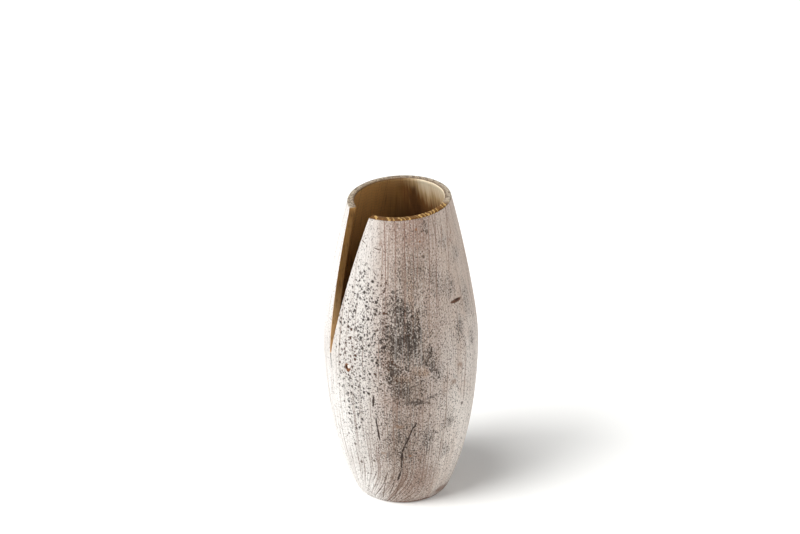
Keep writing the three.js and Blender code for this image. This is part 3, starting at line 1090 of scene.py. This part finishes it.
def clear_glass():
    """Blown and fire-polished: clear with a breath of green, and slow waves that bend what lies behind."""
    material, tree, place = new_finish("clear_soda_glass")
    waves = mottled(tree, place, [GLASS_WAVE] * 3, 1)
    bump = add(tree, BUMP, {"Height": waves, "Strength": 0.08, "Distance": 0.4 * MM})
    shader = add(tree, SHADER, {
        "Base Color": linear("#f3faf6"), "Roughness": 0.03, "IOR": 1.52, "Transmission Weight": 1,
        "Normal": bump,
    })
    add(tree, OUTPUT, shader)
    return material


glass_finish = clear_glass()
print(glass_finish.name, "has", len(glass_finish.node_tree.nodes), "nodes")

# %% [markdown]
# ## Spinning a section
#
# A lathe turns every round piece here, so one Geometry Nodes tree does the same: it takes a section drawn
# as a chain of points, and spins it. The Spin tool would do for a full turn, but the slit opens the wall
# by a different angle at each height. So each point of the section carries its own start and end angle,
# and the tree lays a grid over them: one row for each point, one column for each step round.

# %% Grids that follow a section
SPIN_INPUTS = {
    "Section": "NodeSocketGeometry", "Steps": "NodeSocketInt",
    "Slit Row": "NodeSocketInt", "Slit Partner": "NodeSocketInt", "Slit Rows": "NodeSocketInt",
    "Face Steps": "NodeSocketInt", "Slit Tip": "NodeSocketFloat", "Mouth Slope": "NodeSocketFloat",
    "Belly Height": "NodeSocketFloat", "Mouth Height": "NodeSocketFloat",
    "Outside": "NodeSocketMaterial", "Cut": "NodeSocketMaterial", "Inside": "NodeSocketMaterial",
}
POSITION = "GeometryNodeInputPosition"
NAMED = "GeometryNodeInputNamedAttribute"
STORE = "GeometryNodeStoreNamedAttribute"


def carried(tree, section, name, row, kind="FLOAT"):
    """What the section carries at a row, such as an angle or its position."""
    value = add(tree, POSITION) if name == "position" else add(tree, NAMED, name, data_type=kind)
    inputs = {"Geometry": section, "Value": value, "Index": row}
    return add(tree, "GeometryNodeSampleIndex", inputs, data_type=kind, domain="POINT", clamp=True)


def numbered_grid(tree, columns, rows):
    """A flat grid, with how far across it a point is, from 0 to 1, and the number of its row."""
    grid = add(tree, "GeometryNodeMeshGrid", 1, 1, columns, rows)
    flat = add(tree, PARTS, add(tree, POSITION)).outputs
    across = add(tree, MATH, flat["X"], 0.5, operation="ADD")
    up = add(tree, MATH, flat["Y"], 0.5, operation="ADD")
    last = add(tree, MATH, rows, 1, operation="SUBTRACT")
    row = add(tree, MATH, add(tree, MATH, up, last, **TIMES), operation="ROUND")
    return grid, across, row


def swung(tree, grid, zone, reach, angle):
    """The grid with its zone noted and its points swung about the axis to an angle."""
    inputs = {"Geometry": grid, "Name": "zone", "Value": zone}
    zoned = add(tree, STORE, inputs, data_type="FLOAT", domain="POINT")
    arm = add(tree, PARTS, reach).outputs
    x = add(tree, MATH, arm["X"], add(tree, MATH, angle, operation="COSINE"), **TIMES)
    y = add(tree, MATH, arm["X"], add(tree, MATH, angle, operation="SINE"), **TIMES)
    spot = add(tree, "ShaderNodeCombineXYZ", x, y, arm["Z"])
    return add(tree, "GeometryNodeSetPosition", {"Geometry": zoned, "Position": spot})


print(len(SPIN_INPUTS), "inputs for the spinning tree")

# %% [markdown]
# ## Wall and cut faces
#
# The wall is one wide grid over the whole section, from each row's start angle to its end angle. That
# leaves the slit open, with its thickness missing. A Boolean cut would close it but leave ragged
# triangles, so two narrow grids are laid instead, straight across the wall from each outer row to the
# inner row of its height.

# %% Wall and cut faces
# Sockets of a Mix node for vectors: its two ends and the result
FROM, TO, BETWEEN = 4, 5, 1


def spun_wall(tree, given):
    """The whole section spun round, each row from its own start angle to its own end angle."""
    section = given["Section"]
    rows = add(tree, "GeometryNodeAttributeDomainSize", section, component="MESH").outputs["Point Count"]
    columns = add(tree, MATH, given["Steps"], 1, operation="ADD")
    grid, across, row = numbered_grid(tree, columns, rows)
    start = carried(tree, section, "from_angle", row)
    turn = add(tree, MATH, carried(tree, section, "to_angle", row), start, operation="SUBTRACT")
    angle = add(tree, MATH, across, turn, start, **TIMES_PLUS)
    reach = carried(tree, section, "position", row, "FLOAT_VECTOR")
    return swung(tree, grid, carried(tree, section, "zone", row), reach, angle)


def slit_face(tree, given, end):
    """A cut face of the slit, from the outer rows straight across the wall to the inner rows."""
    section = given["Section"]
    columns = add(tree, MATH, given["Face Steps"], 1, operation="ADD")
    grid, across, row = numbered_grid(tree, columns, given["Slit Rows"])
    outer_row = add(tree, MATH, given["Slit Row"], row, operation="ADD")
    inner_row = add(tree, MATH, given["Slit Partner"], row, operation="SUBTRACT")
    outer = carried(tree, section, "position", outer_row, "FLOAT_VECTOR")
    inner = carried(tree, section, "position", inner_row, "FLOAT_VECTOR")
    mix = add(tree, "ShaderNodeMix", {0: across, FROM: outer, TO: inner}, data_type="VECTOR")
    face = swung(tree, grid, 1.0, mix.outputs[BETWEEN], carried(tree, section, end, outer_row))
    return add(tree, "GeometryNodeFlipFaces", face) if end == "from_angle" else face


print("one grid for the wall and one for each face of the slit")

# %% [markdown]
# ## Mouth, arrises and the whole tree
#
# As the wood dried, its mouth settled toward the slit, so the wall above the belly shears with its
# height. The arrises are eased by hand on the real vase. A bevel by angle would also round the closed end
# of the slit, so the tree writes a bevel weight on each sharp edge that fades out there, and a Bevel
# modifier reads it. The joined grids are welded, and each face gets its finish from the zone that its
# points carry.

# %% Mouth and arrises
SHARP_ANGLE = math.radians(38)
ARRIS_FADE = 14


def settled_mouth(tree, given, solid):
    """The solid with its mouth settled toward the slit, as the drying wood left it."""
    spot = add(tree, PARTS, add(tree, POSITION)).outputs
    rise = add(tree, RANGE, spot["Z"], given["Belly Height"], given["Mouth Height"])
    slope = add(tree, MATH, given["Mouth Slope"], operation="TANGENT")
    offset = add(tree, "ShaderNodeCombineXYZ", 0, 0, all_of(tree, rise, rise, slope, spot["Y"]))
    return add(tree, "GeometryNodeSetPosition", {"Geometry": solid, "Offset": offset})


def arris_weights(tree, given, solid):
    """The solid with a bevel weight on every outer corner, fading out where the slit runs to its tip."""
    corner = add(tree, "GeometryNodeInputMeshEdgeAngle").outputs["Signed Angle"]
    sharp = add(tree, MATH, corner, SHARP_ANGLE, operation="GREATER_THAN")
    height = add(tree, PARTS, add(tree, POSITION)).outputs["Z"]
    above = add(tree, MATH, height, given["Slit Tip"], operation="SUBTRACT")
    opening = add(tree, RANGE, above, 0, ARRIS_FADE * MM)
    below = add(tree, MATH, above, -MM, operation="LESS_THAN")
    weight = all_of(tree, sharp, add(tree, MATH, opening, below, operation="MAXIMUM"))
    inputs = {"Geometry": solid, "Name": "bevel_weight_edge", "Value": weight}
    return add(tree, STORE, inputs, data_type="FLOAT", domain="EDGE")


print(f"arrises come in over {ARRIS_FADE} mm above the slit's tip")

# %% The whole tree
WELD = 0.01
ZONE_STARTS = {"Outside": -1, "Cut": 0.25, "Inside": 1.25}


def spin_tree():
    """The tree: grids joined and welded, mouth settled, arrises weighed, and a finish for each zone."""
    tree = bpy.data.node_groups.new("spin_section", "GeometryNodeTree")
    for name, kind in SPIN_INPUTS.items():
        tree.interface.new_socket(name=name, in_out="INPUT", socket_type=kind)
    tree.interface.new_socket(name="Geometry", in_out="OUTPUT", socket_type="NodeSocketGeometry")
    given = add(tree, "NodeGroupInput").outputs

    joined = add(tree, "GeometryNodeJoinGeometry")
    for end in ("to_angle", "from_angle"):
        tree.links.new(slit_face(tree, given, end).outputs[0], joined.inputs[0])
    tree.links.new(spun_wall(tree, given).outputs[0], joined.inputs[0])

    zone = add(tree, NAMED, "zone", data_type="FLOAT")
    inputs = {"Geometry": joined, "Name": "face_zone", "Value": zone}
    faces = add(tree, STORE, inputs, data_type="FLOAT", domain="FACE")
    welded = add(tree, "GeometryNodeMergeByDistance", {"Geometry": faces, "Distance": WELD * MM})
    eased = arris_weights(tree, given, settled_mouth(tree, given, welded))
    smooth = add(tree, "GeometryNodeSetShadeSmooth", eased)
    result = add(tree, "GeometryNodeRealizeInstances", smooth)
    face_zone = add(tree, NAMED, "face_zone", data_type="FLOAT")
    for name, least in ZONE_STARTS.items():
        chosen = add(tree, MATH, face_zone, least, operation="GREATER_THAN")
        inputs = {"Geometry": result, "Selection": chosen, "Material": given[name]}
        result = add(tree, "GeometryNodeSetMaterial", inputs)
    add(tree, "NodeGroupOutput", result)
    return tree


spin = spin_tree()
print(spin.name, "has", len(spin.nodes), "nodes")

# %% [markdown]
# ## Turning a piece
#
# The section goes in as a mesh of points in one line. Its angles and zones ride along as attributes.
# After the tree and the bevel have run, the evaluated object is turned into a plain mesh, because only
# plain meshes are kept.

# %% From a section to a finished mesh
FULL_TURN = 2 * math.pi
ARRIS_WIDTH = 0.5
ARRIS_SEGMENTS = 3
OUTSIDE, CUT, INSIDE = 0, 1, 2


def arc(centre, radius, start, stop, steps):
    """Points of an arc in a section, from one angle to another in degrees; 0 points outward."""
    angles = [math.radians(start + (stop - start) * step / steps) for step in range(steps + 1)]
    return [(centre[0] + radius * math.cos(a), centre[1] + radius * math.sin(a)) for a in angles]


def turn_piece(name, rows, inputs):
    """Spins rows of (radius, height, from angle, to angle, zone) into a mesh object."""
    mesh = bpy.data.meshes.new(name)
    points = [(row[0] * MM, 0, row[1] * MM) for row in rows]
    mesh.from_pydata(points, [(i, i + 1) for i in range(len(rows) - 1)], [])
    for column, attribute in ((2, "from_angle"), (3, "to_angle"), (4, "zone")):
        values = mesh.attributes.new(attribute, "FLOAT", "POINT")
        values.data.foreach_set("value", [row[column] for row in rows])
    piece = bpy.data.objects.new(name, mesh)
    bpy.context.collection.objects.link(piece)

    spinner = piece.modifiers.new("spin", "NODES")
    spinner.node_group = spin
    for item in spin.interface.items_tree:
        if item.in_out == "INPUT" and item.name in inputs:
            spinner[item.identifier] = inputs[item.name]
    easing = piece.modifiers.new("eased arrises", "BEVEL")
    easing.limit_method = "WEIGHT"
    easing.width = ARRIS_WIDTH * MM
    easing.segments = ARRIS_SEGMENTS
    easing.harden_normals = True

    graph = bpy.context.evaluated_depsgraph_get()
    finished = bpy.data.meshes.new_from_object(piece.evaluated_get(graph))
    piece.modifiers.clear()
    piece.data = finished
    for attribute in ("zone", "face_zone", "bevel_weight_edge"):
        if attribute in finished.attributes:
            finished.attributes.remove(finished.attributes[attribute])
    finished.name = name
    finished.calc_loop_triangles()
    print(f"{name}: {len(finished.loop_triangles)} triangles, {len(finished.materials)} finishes")
    return piece


print(f"arrises eased by {ARRIS_WIDTH} mm")

# %% [markdown]
# ## The slit
#
# The slit is sawn from the mouth down to the belly. Drawn square on, its left edge is plumb and its right
# edge bows away from it, and its faces run toward the axis, as a saw held to the middle leaves them. A
# knife has rounded its two top corners. The slit could be a cutter, but the section already asks at which
# angles there is wood at a height, so one function answers that.

# %% The slit
SLIT_MOUTH_WIDTH = 23.5
SLIT_TIP_HEIGHT = 125
SLIT_TIP_WIDTH = 1.5
SLIT_BOW_WIDTH = 10.2
SLIT_BOW_RISE = 35
SLIT_LEFT_ROUND = 4
SLIT_RIGHT_ROUND = 1.5
SLIT_AZIMUTH = 1.5 * math.pi
SLIT_LEFT = -SLIT_MOUTH_WIDTH / 2
SLIT_MIDDLE = SLIT_LEFT + SLIT_TIP_WIDTH / 2
SLIT_EDGE = [
    Vector((SLIT_LEFT + SLIT_TIP_WIDTH, SLIT_TIP_HEIGHT)),
    Vector((SLIT_LEFT + SLIT_BOW_WIDTH, SLIT_TIP_HEIGHT + SLIT_BOW_RISE)),
    Vector((SLIT_LEFT + SLIT_MOUTH_WIDTH, MOUTH_HEIGHT)),
]


def corner_cut(height, corner):
    """How far a rounded top corner of the slit draws back at a height."""
    rise = min(corner, max(0, height - (MOUTH_HEIGHT - corner)))
    return corner - math.sqrt(corner ** 2 - rise ** 2)


def wood_angles(height):
    """The azimuths between which there is wood at a height: from the slit's right edge to its left."""
    radius = outline_at(height)[0]
    left = right = SLIT_MIDDLE
    if height > SLIT_TIP_HEIGHT:
        rise = min(1, (height - SLIT_TIP_HEIGHT) / (SLIT_TIP_WIDTH / 2))
        opened = math.sqrt(1 - (1 - rise) ** 2)
        edge = curve_at_height(SLIT_EDGE, height)[0].x
        left = SLIT_MIDDLE + (SLIT_LEFT - SLIT_MIDDLE) * opened
        right = SLIT_MIDDLE + (edge - SLIT_MIDDLE) * opened
    left -= corner_cut(height, SLIT_LEFT_ROUND)
    right += corner_cut(height, SLIT_RIGHT_ROUND)
    start = SLIT_AZIMUTH + math.asin(right / radius)
    stop = SLIT_AZIMUTH + math.asin(left / radius) + FULL_TURN
    return start, stop


start, stop = wood_angles(MOUTH_HEIGHT)
print(f"the mouth is open over {360 - math.degrees(stop - start):.1f} degrees")

# %% [markdown]
# ## The turned body
#
# The body's section climbs the outside, rounds over the rim, comes down inside, and closes under the
# foot, where a stepped hole waits for the plug. Above the slit's tip the two sides have rows at the same
# heights, so the cut faces can be laid straight across from one to the other.

# %% Outside and rim
RIM_EASE = 1.4
FOOT_EASE = 1
LOW_ROWS = 78
HIGH_ROWS = 74
TIP_ROWS = 5
EASE_ROWS = 5
FACE_STEPS = 4


def spread(low, high, count):
    """Heights from low to high, both ends left out."""
    return [low + (high - low) * step / (count + 1) for step in range(1, count + 1)]


ease_height = MOUTH_HEIGHT - RIM_EASE
tip_radius = SLIT_TIP_WIDTH / 2
tip_angles = [math.pi / 2 * step / TIP_ROWS for step in range(TIP_ROWS + 1)]
tip_heights = [SLIT_TIP_HEIGHT + tip_radius * (1 - math.cos(angle)) for angle in tip_angles]
shared_heights = tip_heights + spread(tip_heights[-1], ease_height, HIGH_ROWS)

foot = arc((FOOT_RADIUS - FOOT_EASE, FOOT_EASE), FOOT_EASE, -90, -math.degrees(FOOT_FLARE), EASE_ROWS)
outside_heights = spread(foot[-1][1], SLIT_TIP_HEIGHT, LOW_ROWS) + shared_heights
outside = [(outline_at(z)[0], z) for z in outside_heights]
rim_outer = arc((outline_at(ease_height)[0] - RIM_EASE, ease_height), RIM_EASE, 0, 90, EASE_ROWS)
rim_inner = arc((hollow_at(ease_height) + RIM_EASE, ease_height), RIM_EASE, 90, 180, EASE_ROWS)
crown = [(r, MOUTH_HEIGHT) for r in spread(rim_outer[-1][0], rim_inner[0][0], FACE_STEPS - 1)]
rim_width = rim_outer[0][0] - rim_inner[-1][0]
print(f"{len(outside)} rows outside, and a rim {rim_width:.1f} mm wide")

# %% Inside and foot
FLOOR_THICKNESS = 12
FLOOR_COVE = 5
FOOT_RING_WIDTH = 7
PLUG_FLANGE_THICKNESS = 5
PLUG_SHOULDER = 4
INNER_LOW_ROWS = 42
FLOOR_ROWS = 2

cove_middle = FLOOR_THICKNESS + FLOOR_COVE
cove_lean = outline_at(cove_middle)[1]
cove_top = FLOOR_THICKNESS + FLOOR_COVE * (1 - math.sin(cove_lean))
floor_radius = hollow_at(cove_top) - FLOOR_COVE * math.cos(cove_lean)
rebate_radius = FOOT_RADIUS - FOOT_RING_WIDTH
bore_radius = rebate_radius - PLUG_SHOULDER
inside_heights = shared_heights[::-1] + spread(SLIT_TIP_HEIGHT, cove_top, INNER_LOW_ROWS)
inside = [(hollow_at(z), z) for z in inside_heights]
cove = arc((floor_radius, cove_middle), FLOOR_COVE, -math.degrees(cove_lean), -90, EASE_ROWS)
floor = [(r, FLOOR_THICKNESS) for r in spread(floor_radius, bore_radius, FLOOR_ROWS)]
under = [
    (bore_radius, FLOOR_THICKNESS), (bore_radius, PLUG_FLANGE_THICKNESS),
    (rebate_radius, PLUG_FLANGE_THICKNESS), (rebate_radius, 0), foot[0],
]
print(f"{len(inside)} rows inside, and a floor {2 * floor_radius:.1f} mm wide")

# %% [markdown]
# ## Spinning the body
#
# Half of each rounded edge of the rim belongs to the rim and half to the wall beside it, as a worn edge
# shows both finishes. The tree needs to know at which row the slit starts outside, which row lies across
# from it inside, and how many rows there are between.

# %% Spin the body
BODY_STEPS = 256

half_rim = EASE_ROWS // 2
zones = [
    (foot + outside + rim_outer[:half_rim], OUTSIDE),
    (rim_outer[half_rim:] + crown + rim_inner[:-half_rim], CUT),
    (rim_inner[-half_rim:] + inside + cove + floor, INSIDE),
    (under, CUT),
]
body_rows = [(r, z, *wood_angles(z), zone) for points, zone in zones for r, z in points]
slit_row = len(foot) + LOW_ROWS
slit_rows = len(shared_heights) + len(rim_outer)
slit_partner = slit_row + 2 * slit_rows + len(crown) - 1
body = turn_piece("vase_body", body_rows, {
    "Steps": BODY_STEPS, "Slit Row": slit_row, "Slit Partner": slit_partner, "Slit Rows": slit_rows,
    "Face Steps": FACE_STEPS, "Mouth Slope": MOUTH_SLOPE, "Belly Height": BELLY_HEIGHT * MM,
    "Mouth Height": MOUTH_HEIGHT * MM, "Slit Tip": SLIT_TIP_HEIGHT * MM,
    "Outside": outside_finish, "Cut": cut_finish, "Inside": inside_finish,
})
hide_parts("turned_body")
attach(body, "vase")
print(f"{len(body_rows)} rows; the slit starts at row {slit_row} and row {slit_partner}")

# %% [markdown]
# ## Plug, cork seat and glass liner
#
# The same tree spins the three smaller pieces. Each section starts and ends on the axis, runs all the way
# round and has no slit, so the inputs for the slit stay at nothing. The plug is a flange and a boss with
# a shallow dish underneath, the seat is a cork disc with a lip, and the liner is a straight glass with a
# rounded foot and a fire-polished rim. Every clearance is the measured model's.

# %% Section of the plug
SEAT_GAP = 0.3
PLUG_SINK = 0.8
PLUG_RIM_WIDTH = 8
PLUG_DISH_DEPTH = 2
PLUG_EASE = 0.6
ROUND_ROWS = 6

plug_radius = rebate_radius - SEAT_GAP
boss_radius = bore_radius - SEAT_GAP
dish_radius = plug_radius - PLUG_RIM_WIDTH
dish_height = PLUG_SINK + PLUG_DISH_DEPTH
flange_top = PLUG_FLANGE_THICKNESS - SEAT_GAP
plug = [(0, dish_height), (dish_radius - PLUG_DISH_DEPTH, dish_height), (dish_radius, PLUG_SINK)]
plug += arc((plug_radius - PLUG_EASE, PLUG_SINK + PLUG_EASE), PLUG_EASE, -90, 0, ROUND_ROWS)
plug += [(plug_radius, flange_top), (boss_radius, flange_top)]
plug += [(boss_radius, FLOOR_THICKNESS), (0, FLOOR_THICKNESS)]
print(f"plug {2 * plug_radius:.1f} mm wide")

# %% Section of the cork seat
CORK_BASE = 2.5
CORK_LIP_HEIGHT = 2.5
CORK_LIP_WIDTH = 2.5

cork_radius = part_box("cork_seat")[1][0] / MM
recess_radius = cork_radius - CORK_LIP_WIDTH
cork_low = FLOOR_THICKNESS + SEAT_GAP
recess_floor = cork_low + CORK_BASE
cork_top = recess_floor + CORK_LIP_HEIGHT
cork = [(0, cork_low), (cork_radius, cork_low), (cork_radius, cork_top), (recess_radius, cork_top)]
cork += [(recess_radius, recess_floor), (0, recess_floor)]
print(f"cork {2 * cork_radius:.1f} mm wide")

# %% Section of the glass liner
LINER_WALL = 2
LINER_BASE = 3.5
LINER_FOOT_ROUND = 3

glass_low, glass_top = [corner[2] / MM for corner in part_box("glass_liner")]
glass_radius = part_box("glass_liner")[1][0] / MM
lip = LINER_WALL / 2
bore = glass_radius - LINER_WALL
bore_floor = glass_low + LINER_BASE
foot_round = (glass_radius - LINER_FOOT_ROUND, glass_low + LINER_FOOT_ROUND)
glass = [(0, glass_low)] + arc(foot_round, LINER_FOOT_ROUND, -90, 0, ROUND_ROWS)
glass += arc((glass_radius - lip, glass_top - lip), lip, 0, 180, 2 * ROUND_ROWS)
glass += arc((bore - lip, bore_floor + lip), lip, 0, -90, ROUND_ROWS) + [(0, bore_floor)]
print(f"glass {2 * glass_radius:.1f} mm wide and {glass_top - glass_low:.1f} mm tall")

# %% Spin the small pieces
SMALL_STEPS = 128
SMALL_PIECES = {
    # node: its section, the body it rides on, its material slot and its finish
    "base_plug": (plug, "vase", "plug_wood", plug_finish),
    "cork_seat": (cork, "vase", "cork", cork_finish),
    "glass_liner": (glass, "liner", "clear_glass", glass_finish),
}

for node, (section, rider, slot, finish) in SMALL_PIECES.items():
    rows = [(radius, height, 0, FULL_TURN, OUTSIDE) for radius, height in section]
    inputs = {"Steps": SMALL_STEPS, "Slit Tip": MOUTH_HEIGHT * MM} | dict.fromkeys(ZONE_STARTS, finish)
    piece = turn_piece(f"turned_{node}", rows, inputs)
    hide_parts(node)
    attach(piece, rider)

# %% [markdown]
# ## Sizes
#
# The dressed vase must stay inside the measured one, because other parts are fitted to the measured
# sizes.

# %% Finish
print("the dressed vase is in the scene")
